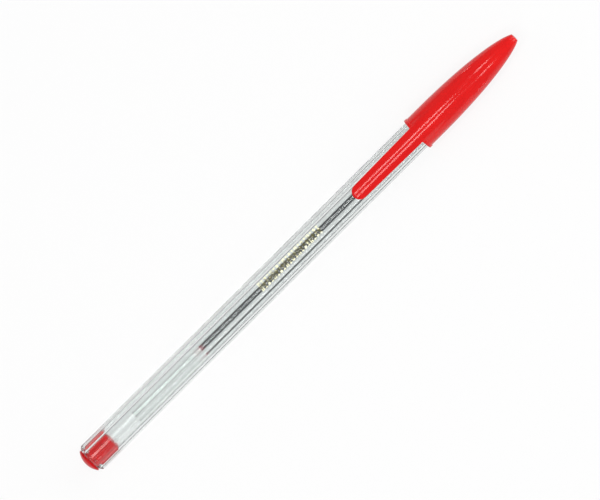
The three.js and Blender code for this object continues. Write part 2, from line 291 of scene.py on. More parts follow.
def lathe(
    name: str, profile: Profile, sides: int = ROUND_SIDES, closed: bool = False,
) -> bpy.types.Object:
    """Spin a profile round the pen's axis.

    Args:
        name: the piece's name.
        profile: points (x, radius). An open profile is closed flat where an end isn't on the axis.
        sides: the number of steps round the axis.
        closed: whether the profile ends where it starts, as for a tube's wall.

    Returns:
        The solid.
    """
    points = list(profile)
    if closed:
        points.append(points[0])
    else:
        points = [(points[0][0], 0.0), *points, (points[-1][0], 0.0)]
    deselect_all()
    start = (points[0][0], 0.0, AXIS_Z + points[0][1])
    bpy.ops.mesh.primitive_plane_add(size=MM, location=start)
    piece = finish_primitive(name)
    with editing(piece):
        bpy.ops.mesh.select_all(action="SELECT")
        bpy.ops.mesh.merge(type="CENTER")
        for (x, radius), (next_x, next_radius) in zip(points, points[1:]):
            step = (next_x - x, 0.0, next_radius - radius)
            bpy.ops.mesh.extrude_region_move(TRANSFORM_OT_translate={"value": step})
        bpy.ops.mesh.select_all(action="SELECT")
        bpy.ops.mesh.spin(steps=sides, angle=math.tau, center=AXIS, axis=(1.0, 0.0, 0.0))
    clean_mesh(piece)
    return piece


def arc(centre: Point, size: float, start: float, end: float, steps: int = 6) -> Profile:
    """Points on a round of a profile.

    Args:
        centre: the round's centre (x, radius).
        size: the round's own radius.
        start: its first angle in degrees; 0 points forwards and 90 away from the pen's axis.
        end: its last angle in degrees.
        steps: the number of its straight parts.

    Returns:
        The points, both ends included.
    """
    angles = [math.radians(start + (end - start) * i / steps) for i in range(steps + 1)]
    return [(centre[0] + size * math.cos(a), centre[1] + size * math.sin(a)) for a in angles]


def bezier(start: Point, pull: Point, end_pull: Point, end: Point, steps: int) -> Profile:
    """Points on a cubic curve of a profile.

    Args:
        start: the curve's start.
        pull: the start's control point.
        end_pull: the end's control point.
        end: the curve's end.
        steps: the number of its straight parts.

    Returns:
        The points, both ends included.
    """
    points = []
    for i in range(steps + 1):
        t = i / steps
        weights = ((1 - t) ** 3, 3 * t * (1 - t) ** 2, 3 * t ** 2 * (1 - t), t ** 3)
        corners = (start, pull, end_pull, end)
        points.append(tuple(
            sum(weight * corner[k] for weight, corner in zip(weights, corners)) for k in range(2)
        ))
    return points


def displace_up(piece: bpy.types.Object, moves: dict[int, float]) -> None:
    """Raise vertices of a piece by a Displace modifier.

    Args:
        piece: the piece.
        moves: how far each vertex is raised, by its index.
    """
    furthest = max(moves.values())
    group = piece.vertex_groups.new(name="raise")
    for index, move in moves.items():
        group.add([index], move / furthest, "REPLACE")
    apply_modifier(
        piece, "DISPLACE", direction="Z", strength=furthest, mid_level=0.0, vertex_group=group.name,
    )
    piece.vertex_groups.clear()


def loft(name: str, sections: Sequence[tuple[float, list[Point]]]) -> bpy.types.Object:
    """A closed solid through sections that have the same number of points.

    Args:
        name: the piece's name.
        sections: each section's x and its points (across, height) in a ring.

    Returns:
        The solid.
    """
    mesh = bmesh.new()
    rings = [
        [mesh.verts.new((x, across, AXIS_Z + height)) for across, height in points]
        for x, points in sections
    ]
    count = len(rings[0])
    for ring, following in zip(rings, rings[1:]):
        for i in range(count):
            j = (i + 1) % count
            mesh.faces.new((ring[i], following[i], following[j], ring[j]))
    for ring in (rings[0], rings[-1]):
        for k in range(count // 2):
            corners = (ring[k], ring[k + 1], ring[-k - 1], ring[-k % count])
            mesh.faces.new(dict.fromkeys(corners))
    deselect_all()
    bpy.ops.mesh.primitive_plane_add(size=MM)
    piece = finish_primitive(name)
    mesh.to_mesh(piece.data)
    mesh.free()
    clean_mesh(piece)
    return piece


def lerp(start: float, end: float, share: float) -> float:
    """The value at a share of the way from one value to another."""
    return start + (end - start) * share


def soft_max(one: float, other: float, softness: float) -> float:
    """The larger of two values, with a soft change where they are alike."""
    near = max(0.0, softness - abs(one - other))
    return max(one, other) + near * near / softness / 4.0


# Finishes


class NodeSheet:
    """A material's nodes, with short ways to add and join them."""

    def __init__(self, name: str) -> None:
        """Start a material with one Principled shader.

        Args:
            name: the material's name.
        """
        self.material = bpy.data.materials.new(name)
        self.material.use_nodes = True
        self.nodes = self.material.node_tree.nodes
        self.links = self.material.node_tree.links
        self.shader = self.nodes["Principled BSDF"]
        self.output = self.nodes["Material Output"]
        self.place = self.add("ShaderNodeTexCoord").outputs["Object"]

    def add(self, kind: str, **settings: object) -> bpy.types.Node:
        """Add a node and set its properties."""
        node = self.nodes.new(kind)
        for name, value in settings.items():
            setattr(node, name, value)
        return node

    def join(self, source: bpy.types.NodeSocket, target: bpy.types.NodeSocket) -> None:
        """Link an output to an input."""
        self.links.new(source, target)

    def noise(self, per_mm: Sequence[float], detail: float = 3.0) -> bpy.types.NodeSocket:
        """Noise in space.

        Args:
            per_mm: how many noise cells lie in a millimetre along X, Y and Z.
            detail: the noise's detail.

        Returns:
            The noise's value, from 0 to 1.
        """
        mapping = self.add("ShaderNodeMapping")
        mapping.inputs["Scale"].default_value = [count / MM for count in per_mm]
        self.join(self.place, mapping.inputs["Vector"])
        noise = self.add("ShaderNodeTexNoise")
        noise.inputs["Scale"].default_value = 1.0
        noise.inputs["Detail"].default_value = detail
        self.join(mapping.outputs["Vector"], noise.inputs["Vector"])
        return noise.outputs["Fac"]

    def coordinate(self, axis: str) -> bpy.types.NodeSocket:
        """The place's X, Y or Z."""
        split = self.add("ShaderNodeSeparateXYZ")
        self.join(self.place, split.inputs["Vector"])
        return split.outputs[axis]

    def calculate(
        self, operation: str, *values: bpy.types.NodeSocket | float,
    ) -> bpy.types.NodeSocket:
        """Calculate with values.

        Args:
            operation: the kind of calculation, as Blender names it.
            values: outputs of other nodes, or numbers.

        Returns:
            The result.
        """
        node = self.add("ShaderNodeMath", operation=operation)
        for value, socket in zip(values, node.inputs):
            if isinstance(value, bpy.types.NodeSocket):
                self.join(value, socket)
            else:
                socket.default_value = value
        return node.outputs["Value"]

    def ramp(
        self, source: bpy.types.NodeSocket, stops: Sequence[tuple[float, Colour]],
    ) -> bpy.types.NodeSocket:
        """A colour ramp.

        Args:
            source: what the ramp reads.
            stops: the places and colours of its stops.

        Returns:
            The ramp's colour.
        """
        ramp = self.add("ShaderNodeValToRGB")
        elements = ramp.color_ramp.elements
        while len(elements) < len(stops):
            elements.new(0.5)
        for element, (place, colour) in zip(elements, stops):
            element.position = place
            element.color = (*colour, 1.0)
        self.join(source, ramp.inputs["Fac"])
        return ramp.outputs["Color"]

    def spread(
        self, source: bpy.types.NodeSocket, low: float, high: float,
        source_low: float = 0.0, source_high: float = 1.0,
    ) -> bpy.types.NodeSocket:
        """Map a value onto a range.

        Args:
            source: the value.
            low: the result where the value is at its lowest.
            high: the result where the value is at its highest.
            source_low: the value's lowest.
            source_high: the value's highest.

        Returns:
            The result.
        """
        spread = self.add("ShaderNodeMapRange")
        spread.inputs["From Min"].default_value = source_low
        spread.inputs["From Max"].default_value = source_high
        spread.inputs["To Min"].default_value = low
        spread.inputs["To Max"].default_value = high
        self.join(source, spread.inputs["Value"])
        return spread.outputs["Result"]

    def along(self, start: float, end: float) -> bpy.types.NodeSocket:
        """A value that goes from 0 at one x to 1 at another."""
        return self.spread(self.coordinate("X"), 0.0, 1.0, start, end)

    def vary(
        self, socket: str, source: bpy.types.NodeSocket, middle: float, share: float,
    ) -> None:
        """Vary one of the shader's inputs.

        Args:
            socket: the input's name.
            source: the value from 0 to 1 that it follows.
            middle: the input's middle value.
            share: how far it goes to either side, as a share of the middle value.
        """
        low, high = middle * (1.0 - share), middle * (1.0 + share)
        self.join(self.spread(source, low, high), self.shader.inputs[socket])

    def colour(self, source: bpy.types.NodeSocket) -> None:
        """Give the shader its colour."""
        self.join(source, self.shader.inputs["Base Color"])

    def bump(self, height: bpy.types.NodeSocket, strength: float, depth: float) -> None:
        """Give the shader a bump.

        Args:
            height: the height, from 0 to 1.
            strength: the bump's strength.
            depth: how deep a height of 1 is.
        """
        bump = self.add("ShaderNodeBump")
        bump.inputs["Strength"].default_value = strength
        bump.inputs["Distance"].default_value = depth
        self.join(height, bump.inputs["Height"])
        self.join(bump.outputs["Normal"], self.shader.inputs["Normal"])

    def let_lamps_through(self) -> None:
        """Make the material transparent to shadow rays, so that light reaches what it encloses."""
        path = self.add("ShaderNodeLightPath")
        clear = self.add("ShaderNodeBsdfTransparent")
        mix = self.add("ShaderNodeMixShader")
        self.join(path.outputs["Is Shadow Ray"], mix.inputs["Fac"])
        self.join(self.shader.outputs["BSDF"], mix.inputs[1])
        self.join(clear.outputs["BSDF"], mix.inputs[2])
        self.join(mix.outputs["Shader"], self.output.inputs["Surface"])


@dataclass(frozen=True)
class MouldedPlastic:
    """An opaque moulded plastic with faint flow marks and a fine mould texture."""

    name: str
    colour: Colour
    shade: Colour
    roughness: float
    specular: float = 0.5
    ior: float = 1.49
    roughness_share: float = 0.15
    flow_marks: PerMillimetre = (0.12, 0.5, 0.5)
    grain: PerMillimetre = (3.0, 3.0, 3.0)
    texture: PerMillimetre = (1.2, 2.0, 2.0)
    texture_strength: float = 0.05
    texture_depth: float = 0.001 * MM

    def material(self) -> bpy.types.Material:
        """Build the material."""
        sheet = NodeSheet(self.name)
        flow = sheet.noise(self.flow_marks)
        sheet.colour(sheet.ramp(flow, [(0.35, self.shade), (0.65, self.colour)]))
        sheet.vary("Roughness", sheet.noise(self.grain, 2.0), self.roughness, self.roughness_share)
        sheet.shader.inputs["IOR"].default_value = self.ior
        sheet.shader.inputs["Specular IOR Level"].default_value = self.specular
        sheet.bump(sheet.noise(self.texture, 2.0), self.texture_strength, self.texture_depth)
        return sheet.material


@dataclass(frozen=True)
class ClearPlastic:
    """A clear plastic with faint draw lines along the pen."""

    name: str
    tint: Colour
    shade: Colour
    roughness: float
    ior: float
    roughness_share: float = 0.3
    draw_lines: PerMillimetre = (0.004, 1.6, 1.6)
    line_strength: float = 0.2
    line_depth: float = 0.0008 * MM
    haze: PerMillimetre = (0.01, 2.5, 2.5)

    def sheet(self) -> NodeSheet:
        """Build the material's nodes."""
        sheet = NodeSheet(self.name)
        lines = sheet.noise(self.draw_lines)
        sheet.colour(sheet.ramp(lines, [(0.3, self.shade), (0.7, self.tint)]))
        sheet.vary("Roughness", sheet.noise(self.haze), self.roughness, self.roughness_share)
        sheet.shader.inputs["IOR"].default_value = self.ior
        sheet.shader.inputs["Transmission Weight"].default_value = 1.0
        sheet.bump(lines, self.line_strength, self.line_depth)
        sheet.let_lamps_through()
        return sheet

    def material(self) -> bpy.types.Material:
        """Build the material."""
        return self.sheet().material


@dataclass(frozen=True)
class StainedPlastic(ClearPlastic):
    """A clear plastic with the stain that the ink left on its way along the tube."""

    stain: Colour = (0.98, 0.84, 0.85)
    faint_share: float = 0.4
    stain_start: float = 0.0
    stain_end: float = 0.0

    def material(self) -> bpy.types.Material:
        """Build the material."""
        clean = (1.0, 1.0, 1.0)
        faint = tuple(lerp(1.0, channel, self.faint_share) for channel in self.stain)
        sheet = self.sheet()
        colour = sheet.shader.inputs["Base Color"]
        mix = sheet.add("ShaderNodeMix", data_type="RGBA", blend_type="MULTIPLY")
        mix.inputs["Factor"].default_value = 1.0
        sheet.join(colour.links[0].from_socket, mix.inputs[6])
        sheet.join(
            sheet.ramp(
                sheet.along(self.stain_start, self.stain_end),
                [(0.0, clean), (0.4, faint), (0.65, faint), (0.88, self.stain), (1.0, clean)],
            ),
            mix.inputs[7],
        )
        sheet.join(mix.outputs[2], colour)
        return sheet.material


@dataclass(frozen=True)
class InkPaste:
    """Dark ink with faint streaks along the tube and a crimson rear end."""

    name: str
    colour: Colour
    streak: Colour
    rear: Colour
    rear_length: float
    rear_x: float = 0.0
    streaks: PerMillimetre = (0.05, 2.2, 2.2)
    wet_patches: PerMillimetre = (0.5, 3.0, 3.0)
    roughness: float = 0.35
    roughness_share: float = 0.2857

    def material(self) -> bpy.types.Material:
        """Build the material."""
        sheet = NodeSheet(self.name)
        streaks = sheet.ramp(
            sheet.noise(self.streaks), [(0.35, self.colour), (0.65, self.streak)],
        )
        mix = sheet.add("ShaderNodeMix", data_type="RGBA")
        sheet.join(sheet.along(self.rear_x, self.rear_x + self.rear_length), mix.inputs["Factor"])
        mix.inputs[6].default_value = (*self.rear, 1.0)
        sheet.join(streaks, mix.inputs[7])
        sheet.colour(mix.outputs[2])
        sheet.vary("Roughness", sheet.noise(self.wet_patches), self.roughness, self.roughness_share)
        return sheet.material


@dataclass(frozen=True)
class TurnedMetal:
    """A metal with fine tool rings round the pen's axis."""

    name: str
    colour: Colour
    shade: Colour
    roughness: float
    tool_rings: PerMillimetre = (14.0, 0.1, 0.1)
    ring_strength: float = 0.15
    ring_depth: float = 0.003 * MM
    wear: PerMillimetre = (2.0, 2.0, 2.0)
    roughness_share: float = 0.2

    def material(self) -> bpy.types.Material:
        """Build the material."""
        sheet = NodeSheet(self.name)
        rings = sheet.noise(self.tool_rings, 2.0)
        sheet.colour(sheet.ramp(rings, [(0.3, self.shade), (0.7, self.colour)]))
        sheet.vary("Roughness", sheet.noise(self.wear), self.roughness, self.roughness_share)
        sheet.shader.inputs["Metallic"].default_value = 1.0
        sheet.bump(rings, self.ring_strength, self.ring_depth)
        return sheet.material


@dataclass(frozen=True)
class HotFoil:
    """Pale gold foil, with painted reflection: dark patches painted along the middle of the strip
    stand for reflected shade, and the sides keep the foil's own pale gold.
    """

    name: str
    bright: Colour
    # dark is a painted reflection: the colour of the shade that the foil reflects, painted into its
    # colour.
    dark: Colour
    metallic: float = 0.5
    roughness_dark: float = 0.5
    roughness_bright: float = 0.3
    reflection_patches: PerMillimetre = (1.6, 1.6, 1.6)
    middle: float = 0.45 * MM
    side: float = 0.95 * MM
    painted_reflection_side_fade: float = 0.3
    creases: PerMillimetre = (2.5, 2.5, 2.5)
    crease_strength: float = 0.4
    crease_depth: float = 0.02 * MM

    def material(self) -> bpy.types.Material:
        """Build the material."""
        sheet = NodeSheet(self.name)
        # Painted reflection: the colour turns to the dark reflected shade in noise patches, fewer
        # towards the strip's sides.
        reflection_patches = sheet.noise(self.reflection_patches)
        away = sheet.calculate("ABSOLUTE", sheet.coordinate("Y"))
        lift = sheet.spread(away, 0.0, self.painted_reflection_side_fade, self.middle, self.side)
        tone = sheet.calculate("ADD", reflection_patches, lift)
        sheet.colour(sheet.ramp(tone, [(0.54, self.dark), (0.66, self.bright)]))
        sheet.join(
            sheet.spread(reflection_patches, self.roughness_dark, self.roughness_bright),
            sheet.shader.inputs["Roughness"],
        )
        sheet.shader.inputs["Metallic"].default_value = self.metallic
        sheet.bump(sheet.noise(self.creases, 2.0), self.crease_strength, self.crease_depth)
        return sheet.material


def dress(
    piece: bpy.types.Object, material: bpy.types.Material, slot: Slot, body: Body, *nodes: str,
) -> None:
    """Give a piece its finish and body, and let it stand for its CAD nodes.

    Args:
        piece: the finished piece.
        material: its material.
        slot: not used.
        body: the body that it rides on.
        nodes: the CAD nodes that it replaces.
    """
    piece.data.materials.clear()
    piece.data.materials.append(material)
    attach(piece, body.value)
    if nodes:
        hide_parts(*nodes)
    log.info("%s: %d faces, on %s", piece.name, len(piece.data.polygons), body.value)


# Sub-assemblies


@dataclass
class Barrel:
    """The clear six-sided barrel: round bore, plug seat, nose cone and vent."""

    flats: float = 7.06 * MM
    edges: int = 6
    edge_radius: float = 0.5 * MM
    edge_steps: int = 8
    wall: float = 0.73 * MM
    rear_chamfer: float = 0.12 * MM
    nose_length: float = 4.8 * MM
    nose_face_wall: float = 0.18 * MM
    vent_diameter: float = 1.0 * MM
    vent_from_rear: float = 71.8 * MM
    vent_sides: int = 32
    round_sides: int = 128
    smooth_angle: float = 20.0
    finish: ClearPlastic = ClearPlastic(
        "clear_polystyrene", (0.86, 0.885, 0.88), (0.83, 0.855, 0.85), 0.035, 1.58,
    )

    def __post_init__(self) -> None:
        """Work out the barrel's places and radii."""
        low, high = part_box("barrel")
        self.start = low.x
        self.end = high.x
        half_turn = math.pi / self.edges
        self.side = self.flats / 2.0 / math.cos(half_turn)
        self.edge_cut = self.edge_radius * math.tan(half_turn)
        edge_centre = self.side - self.edge_radius / math.cos(half_turn)
        self.corner_radius = edge_centre + self.edge_radius
        self.bore_radius = self.flats / 2.0 - self.wall
        self.nose_face_radius = self.bore_radius + self.nose_face_wall
        self.nose_start = self.end - self.nose_length

    def nose_radius(self, x: float) -> float:
        """The nose cone's radius at a place along the pen."""
        share = (self.end - x) / self.nose_length
        return lerp(self.nose_face_radius, self.corner_radius, share)

    def build(self, plug: "EndPlug") -> bpy.types.Object:
        """Model the barrel.

        Args:
            plug: the end plug, whose seat is cut into the rear end.

        Returns:
            The barrel.
        """
        deselect_all()
        bpy.ops.mesh.primitive_cylinder_add(
            vertices=self.edges, radius=self.side, depth=self.end - self.start,
            location=((self.start + self.end) / 2.0, 0.0, AXIS_Z),
            rotation=(0.0, math.radians(90.0), 0.0),
        )
        barrel = finish_primitive("barrel_clear")
        with editing(barrel):
            pick_edges(barrel, lambda one, other: abs(one.x - other.x) > self.side)
            bpy.ops.mesh.bevel(offset=self.edge_cut, segments=self.edge_steps)
        combine(barrel, Join.KEEP, self.ends())
        combine(barrel, Join.CUT, lathe("bore", [
            (self.start - OVERSHOOT, self.bore_radius), (self.end + OVERSHOOT, self.bore_radius),
        ], self.round_sides))
        combine(barrel, Join.CUT, lathe("seat", [
            (x, plug.seat_radius(x) + plug.seat_gap)
            for x in (self.start - OVERSHOOT, self.start + OVERSHOOT)
        ], self.round_sides))
        combine(barrel, Join.CUT, self.vent())
        clean_mesh(barrel, COARSE_MERGE)
        smooth(barrel, self.smooth_angle)
        apply_modifier(barrel, "WEIGHTED_NORMAL", keep_sharp=True)
        dress(barrel, self.finish.material(), Slot.BARREL, Body.PEN, "barrel")
        return barrel

    def ends(self) -> bpy.types.Object:
        """The round solid that shapes the rear edge and the nose cone."""
        half = self.flats / 2.0
        reach = self.nose_start - OVERSHOOT
        return lathe("ends", [
            (self.start, half - self.rear_chamfer),
            (self.start + self.rear_chamfer + self.side - half, self.side),
            (reach, self.side),
            (reach, self.nose_radius(reach)),
            (self.end, self.nose_face_radius),
        ], self.round_sides)

    def vent(self) -> bpy.types.Object:
        """The cutter for the vent in the lowest wall."""
        deselect_all()
        bpy.ops.mesh.primitive_cylinder_add(
            vertices=self.vent_sides, radius=self.vent_diameter / 2.0, depth=self.side,
            location=(
                self.start + self.vent_from_rear, 0.0,
                AXIS_Z - self.bore_radius / 2.0 - self.side / 2.0,
            ),
        )
        return finish_primitive("vent")


@dataclass
class EndPlug:
    """The red plug: domed head, conical seat, neck and eight ribs pressed into the bore."""

    dome_height: float = 1.1 * MM
    dome_steps: int = 10
    head_rim: float = 0.2 * MM
    head_radius: float = 3.28 * MM
    head_edge: float = 0.08 * MM
    seat_length: float = 0.95 * MM
    seat_inset: float = 0.2 * MM
    seat_gap: float = 0.04 * MM
    neck_length: float = 0.55 * MM
    neck_depth: float = 0.55 * MM
    ribs: int = 8
    rib_width: float = 0.95 * MM
    rib_depth: float = 0.5 * MM
    rib_edge: float = 0.12 * MM
    edge_steps: int = 3
    margin: float = 0.01 * MM
    end_round: float = 0.35 * MM
    crest_contact: float = 0.004 * MM
    bore_radius: float = 2.8 * MM
    turn: float = math.radians(7.7)
    smooth_angle: float = 38.0
    finish: MouldedPlastic = MouldedPlastic(
        "red_polypropylene_plug", (0.56, 0.006, 0.008), (0.5, 0.005, 0.006), 0.3, 0.2,
    )

    def __post_init__(self) -> None:
        """Work out the plug's places."""
        low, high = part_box("end_plug")
        self.start = low.x
        self.end = high.x
        self.rim_end = self.start + self.dome_height + self.head_rim
        self.seat_end = self.rim_end + self.seat_length
        self.neck_end = self.seat_end + self.neck_length

    def seat_radius(self, x: float) -> float:
        """The radius of the conical seat at a place along the pen."""
        share = (x - self.rim_end) / self.seat_length
        return lerp(self.head_radius, self.bore_radius - self.seat_inset, share)

    def build(self) -> bpy.types.Object:
        """Model the plug."""
        dome_radius = (self.head_radius ** 2 + self.dome_height ** 2) / 2.0 / self.dome_height
        dome_angle = math.degrees(math.asin(self.head_radius / dome_radius))
        neck = self.bore_radius - self.neck_depth
        core = self.bore_radius - self.rib_depth
        plug = lathe("end_plug_moulded", [
            *arc(
                (self.start + dome_radius, 0.0), dome_radius, 180.0, 180.0 - dome_angle,
                self.dome_steps,
            )[1:],
            (self.rim_end, self.head_radius),
            (self.seat_end, self.seat_radius(self.seat_end)),
            (self.seat_end, neck),
            (self.neck_end, neck),
            (self.neck_end, core),
            (self.end - self.end_round, core),
            (self.end, core - self.end_round),
        ])
        with editing(plug):
            pick_edges(plug, lambda *ends: all(self.on_head_rim(end) for end in ends))
            bpy.ops.mesh.bevel(offset=self.head_edge, segments=self.edge_steps)
        combine(plug, Join.ADD, self.rib_ring())
        clean_mesh(plug)
        smooth(plug, self.smooth_angle)
        dress(plug, self.finish.material(), Slot.PLUG, Body.PEN, "end_plug")
        return plug

    def on_head_rim(self, place: Vector) -> bool:
        """Whether a place is on one of the head's two rims."""
        return math.hypot(place.y, place.z - AXIS_Z) > self.head_radius - self.margin

    def rib_ring(self) -> bpy.types.Object:
        """The eight ribs, cut to the round ends that they have in the bore."""
        length = self.end - self.neck_end
        height = self.rib_depth + 2.0 * self.end_round
        middle = AXIS_Z + self.bore_radius - height / 2.0
        deselect_all()
        bpy.ops.mesh.primitive_cube_add(
            size=1.0, scale=(length, self.rib_width, height),
            location=((self.neck_end + self.end) / 2.0, 0.0, middle),
        )
        rib = finish_primitive("rib")
        with editing(rib):
            pick_edges(rib, lambda one, other: min(one.z, other.z) > middle)
            bpy.ops.mesh.bevel(offset=self.rib_edge, segments=self.edge_steps)
        ring = ring_of(rib, self.ribs, self.turn)
        top = self.bore_radius + self.crest_contact
        combine(ring, Join.KEEP, lathe("rib_envelope", [
            (self.neck_end - self.margin, top - self.end_round / 2.0),
            (self.neck_end + self.end_round / 2.0, top),
            *arc((self.end - self.end_round, top - self.end_round), self.end_round, 90.0, 0.0),
        ]))
        return ring


@dataclass
class Refill:
    """The ink tube, its ink, the tip holder, the metal point and the ball."""

    tube_radius: float = 1.5 * MM
    tube_bore: float = 0.75 * MM
    tube_edge: float = 0.06 * MM
    tube_empty_length: float = 23.3 * MM
    ink_wetting: float = 0.004 * MM
    meniscus_depth: float = 0.45 * MM
    press_gap: float = 0.02 * MM
    lead_in: float = 0.4 * MM
    tube_socket_depth: float = 4.2 * MM
    flange_inset: float = 0.08 * MM
    flange_length: float = 0.5 * MM
    nose_wall: float = 0.3 * MM
    holder_edge: float = 0.05 * MM
    point_radius: float = 1.15 * MM
    point_cone_length: float = 3.1 * MM
    groove_start: float = 0.25 * MM
    groove_depth: float = 0.05 * MM
    lip_wall: float = 0.07 * MM
    feed_radius: float = 0.35 * MM
    ball_radius: float = 0.5 * MM
    ball_gap: float = 0.03 * MM
    ball_steps: int = 32
    seat_steps: int = 10
    stain_length: float = 3.0 * MM
    stain_overlap: float = 0.3 * MM
    tube_finish: StainedPlastic = StainedPlastic(
        "clear_polypropylene_tube", (0.93, 0.95, 0.94), (0.89, 0.915, 0.905), 0.09, 1.49,
    )
    ink_finish: InkPaste = InkPaste(
        "ink_dark_grey", (0.035, 0.038, 0.042), (0.06, 0.064, 0.068), (0.25, 0.01, 0.03), 1.3 * MM,
    )
    holder_finish: MouldedPlastic = MouldedPlastic(
        "natural_moulded_plastic", (0.83, 0.8, 0.7), (0.78, 0.75, 0.65), 0.35,
    )
    point_finish: TurnedMetal = TurnedMetal(
        "turned_brass_point", (0.72, 0.6, 0.36), (0.6, 0.49, 0.28), 0.26,
    )
    ball_finish: TurnedMetal = TurnedMetal(
        "ground_carbide_ball", (0.62, 0.63, 0.65), (0.55, 0.56, 0.58), 0.14, (30.0, 0.1, 0.1),
    )

    def __post_init__(self) -> None:
        """Work out the refill's places."""
        self.tube_start, self.tube_end = (corner.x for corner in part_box("ink_tube"))
        self.ink_start = self.tube_start + self.tube_empty_length
        self.holder_start, self.holder_end = (corner.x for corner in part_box("tip_holder"))
        self.point_start, self.lip = (corner.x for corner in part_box("writing_point"))
        self.ball_x = sum(corner.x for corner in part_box("ball")) / 2.0

    def build(self, barrel: Barrel) -> None:
        """Model the refill's pieces.

        Args:
            barrel: the barrel that holds the refill.
        """
        self.tube()
        self.ink()
        self.holder(barrel)
        self.point()
        self.ball()

    def tube(self) -> bpy.types.Object:
        """The clear ink tube."""
        tube = lathe("ink_tube_clear", [
            (self.tube_start, self.tube_bore),
            (self.tube_start, self.tube_radius - self.tube_edge),
            (self.tube_start + self.tube_edge, self.tube_radius),
            (self.tube_end, self.tube_radius),
            (self.tube_end, self.tube_bore),
        ], closed=True)
        smooth(tube)
        finish = replace(
            self.tube_finish, stain_start=self.ink_start - self.stain_length,
            stain_end=self.ink_start + self.stain_overlap,
        )
        dress(tube, finish.material(), Slot.TUBE, Body.PEN, "ink_tube")
        return tube

    def ink(self) -> bpy.types.Object:
        """The ink, which wets the tube's bore."""
        radius = self.tube_bore + self.ink_wetting
        round_radius = (radius ** 2 + self.meniscus_depth ** 2) / 2.0 / self.meniscus_depth
        angle = math.degrees(math.asin(radius / round_radius))
        centre = self.ink_start + self.meniscus_depth - round_radius
        feed_end = self.ball_x - self.ball_radius - 2.0 * self.ball_gap
        ink = lathe("ink_paste", [
            *arc((centre, 0.0), round_radius, 0.0, angle)[1:],
            (self.point_start - self.press_gap, radius),
            (self.point_start - self.press_gap, self.feed_radius - self.press_gap),
            (feed_end, self.feed_radius - self.press_gap),
        ], SMALL_ROUND_SIDES)
        smooth(ink)
        finish = replace(self.ink_finish, rear_x=self.ink_start)
        dress(ink, finish.material(), Slot.INK, Body.PEN, "ink_column")
        return ink

    def holder(self, barrel: Barrel) -> bpy.types.Object:
        """The plastic holder that carries the metal point."""
        plug = barrel.bore_radius - self.press_gap
        flange = barrel.nose_face_radius - self.flange_inset
        flange_x = barrel.end + self.press_gap
        socket = self.point_radius + self.press_gap
        tube_socket = self.tube_radius + self.press_gap
        holder = lathe("tip_holder_moulded", [
            (self.holder_start, plug - self.lead_in / 2.0),
            (self.holder_start + self.lead_in, plug),
            (flange_x, plug),
            (flange_x, flange),
            (flange_x + self.flange_length, flange),
            (self.holder_end, self.point_radius + self.nose_wall),
            (self.holder_end, socket),
            (self.point_start, socket),
            (self.point_start, self.tube_bore),
            (self.holder_start + self.tube_socket_depth, self.tube_bore),
            (self.holder_start + self.tube_socket_depth, tube_socket),
            (self.holder_start, tube_socket),
        ], closed=True)
        apply_modifier(
            holder, "BEVEL", width=self.holder_edge, segments=2, limit_method="ANGLE",
            angle_limit=math.radians(30.0),
        )
        smooth(holder)
        dress(holder, self.holder_finish.material(), Slot.HOLDER, Body.PEN, "tip_holder")
        return holder

    def point(self) -> bpy.types.Object:
        """The turned metal point with its ball seat and feed."""
        seat = self.ball_radius + self.ball_gap
        lip_angle = math.degrees(math.acos((self.lip - self.ball_x) / seat))
        lip_radius = seat * math.sin(math.radians(lip_angle))
        feed_angle = 180.0 - math.degrees(math.asin(self.feed_radius / seat))
        cone_start = self.lip - self.point_cone_length
        groove = self.point_radius - self.groove_depth
        point = lathe("writing_point_turned", [
            (self.point_start, self.point_radius),
            (cone_start - self.groove_start, self.point_radius),
            (cone_start - self.groove_start + self.groove_depth, groove),
            (cone_start - self.groove_depth, groove),
            (cone_start, self.point_radius),
            (self.lip, lip_radius + self.lip_wall),
            *arc((self.ball_x, 0.0), seat, lip_angle, feed_angle, self.seat_steps),
            (self.point_start, self.feed_radius),
        ], closed=True)
        smooth(point, 30.0)
        dress(point, self.point_finish.material(), Slot.POINT, Body.PEN, "writing_point")
        return point

    def ball(self) -> bpy.types.Object:
        """The ground ball."""
        outline = arc((self.ball_x, 0.0), self.ball_radius, 180.0, 0.0, self.ball_steps)
        ball = lathe("ball_ground", outline[1:-1], SMALL_ROUND_SIDES)
        smooth(ball)
        dress(ball, self.ball_finish.material(), Slot.BALL, Body.BALL, "ball")
        return ball


